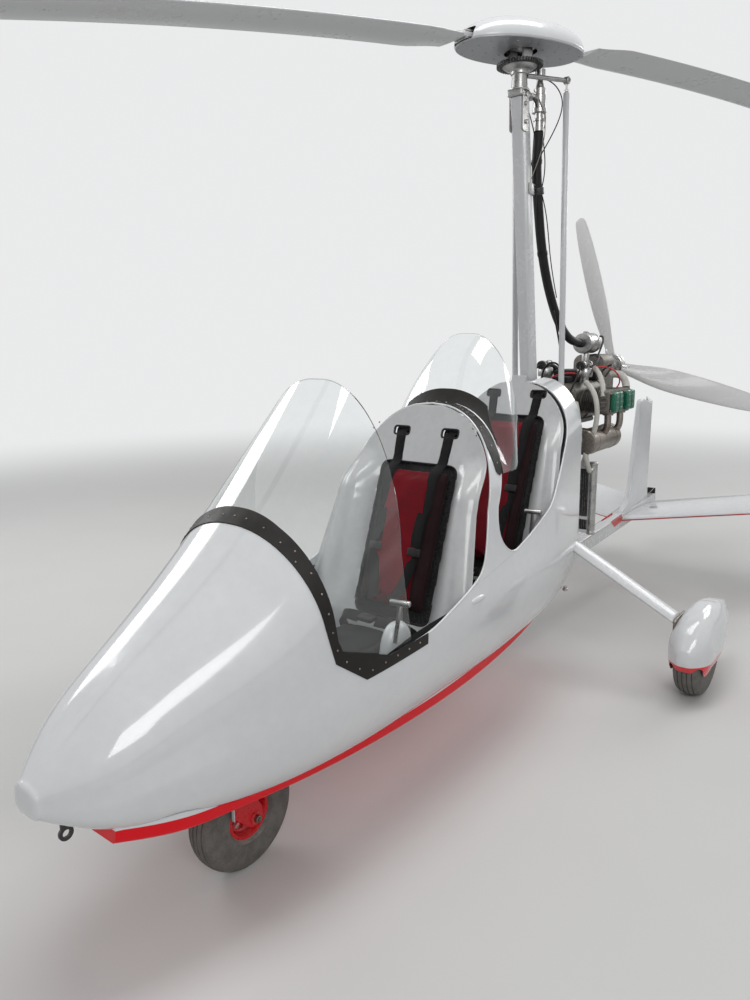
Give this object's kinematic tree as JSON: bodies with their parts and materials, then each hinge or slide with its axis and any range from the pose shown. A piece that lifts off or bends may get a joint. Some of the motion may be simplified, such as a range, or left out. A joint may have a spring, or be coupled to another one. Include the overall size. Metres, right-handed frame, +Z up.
{
  "type": "two-seat gyrocopter",
  "caption": "Open tandem cockpit autogyro with a pod hull, windscreens, mast, two-blade teetering rotor, pusher engine and propeller, twin-fin tail and three-wheel gear.",
  "frame": {"origin": "on the floor under the middle of the craft's outline, below the rotor hub", "axes": "+X to the port side (left), +Y towards the tail, +Z up; the nose points along -Y"},
  "size_m": [3.245, 7.7206, 2.8358],
  "materials": {
    "white_shell": "gloss gel coat, red below the chine",
    "red_paint": "gloss red",
    "belly_shell": "gloss white with a dark front face",
    "floor_board": "matt",
    "dark_band": "gloss black-brown",
    "clear_screen": "clear",
    "seat_grey": "satin",
    "red_fabric": "woven",
    "black_webbing": "woven",
    "black_plastic": "matt",
    "black_metal": "satin",
    "white_metal": "gloss",
    "bright_metal": "machined",
    "steel": "brushed",
    "cast_engine": "cast",
    "green_cover": "gloss green",
    "hose_black": "matt",
    "grey_tyre": "ribbed",
    "rotor_skin": "satin",
    "prop_white": "gloss"
  },
  "bodies": {
    "airframe": {"pod_hull": "white_shell", "centre_fairing": "white_shell", "belly_fairing": "belly_shell", "cockpit_floor": "floor_board", "screen_bands": "dark_band", "windscreens": "clear_screen", "seat_shell_front": "seat_grey", "seat_shell_rear": "seat_grey", "seat_cushions": "red_fabric", "harness_straps": "black_webbing", "cockpit_controls": "black_plastic", "chassis_frame": "black_metal", "keel_tube": "white_metal", "mast": "white_metal", "rotor_head": "bright_metal", "prerotator": "bright_metal", "drive_sleeve": "hose_black", "push_rods": "white_metal", "engine_bearer": "black_metal", "engine_block": "cast_engine", "engine_cylinders": "cast_engine", "valve_covers": "green_cover", "induction": "black_plastic", "exhaust": "steel", "gearbox": "cast_engine", "radiator": "bright_metal", "gear_leg": "white_metal", "wheel_spats": "white_shell", "main_axles": "steel", "tailplane": "white_shell", "tail_fins": "white_shell"},
    "steering": {"nose_fork": "red_paint"},
    "nose_wheel": {"nose_rim": "red_paint", "nose_tyre": "grey_tyre"},
    "left_wheel": {"left_rim": "red_paint", "left_tyre": "grey_tyre"},
    "right_wheel": {"right_rim": "red_paint", "right_tyre": "grey_tyre"},
    "rudder": {"rudder": "white_shell"},
    "propeller": {"prop_hub": "bright_metal", "prop_blades": "prop_white"},
    "rotor_drive": {"ring_gear": "bright_metal"},
    "rotor": {"hub_bar": "bright_metal", "hub_cover": "white_shell", "rotor_blades": "rotor_skin"}
  },
  "joints": [
    {"name": "nose_steer", "type": "hinge", "parent": "airframe", "child": "steering", "pos_m": [0, -1.765, 0.42], "axis": [0, 0, 1], "range_deg": [-28, 28]},
    {"name": "nose_spin", "type": "hinge", "parent": "steering", "child": "nose_wheel", "pos_m": [0, -1.71, 0.18], "axis": [1, 0, 0], "continuous": true},
    {"name": "left_spin", "type": "hinge", "parent": "airframe", "child": "left_wheel", "pos_m": [0.8, 0.285, 0.19], "axis": [1, 0, 0], "continuous": true},
    {"name": "right_spin", "type": "hinge", "parent": "airframe", "child": "right_wheel", "pos_m": [-0.8, 0.285, 0.19], "axis": [1, 0, 0], "continuous": true},
    {"name": "rudder_swing", "type": "hinge", "parent": "airframe", "child": "rudder", "pos_m": [0, 1.931, 0.85], "axis": [0, 0, 1], "range_deg": [-50, 6]},
    {"name": "prop_spin", "type": "hinge", "parent": "airframe", "child": "propeller", "pos_m": [0, 1.215, 1.41], "axis": [0, 1, 0], "continuous": true},
    {"name": "rotor_spin", "type": "hinge", "parent": "airframe", "child": "rotor_drive", "pos_m": [0, 0, 2.6], "axis": [0, 0, 1], "continuous": true},
    {"name": "rotor_teeter", "type": "hinge", "parent": "rotor_drive", "child": "rotor", "pos_m": [0, 0, 2.783], "axis": [0.9336, -0.3584, 0], "range_deg": [-11.5, 6.5]}
  ]
}
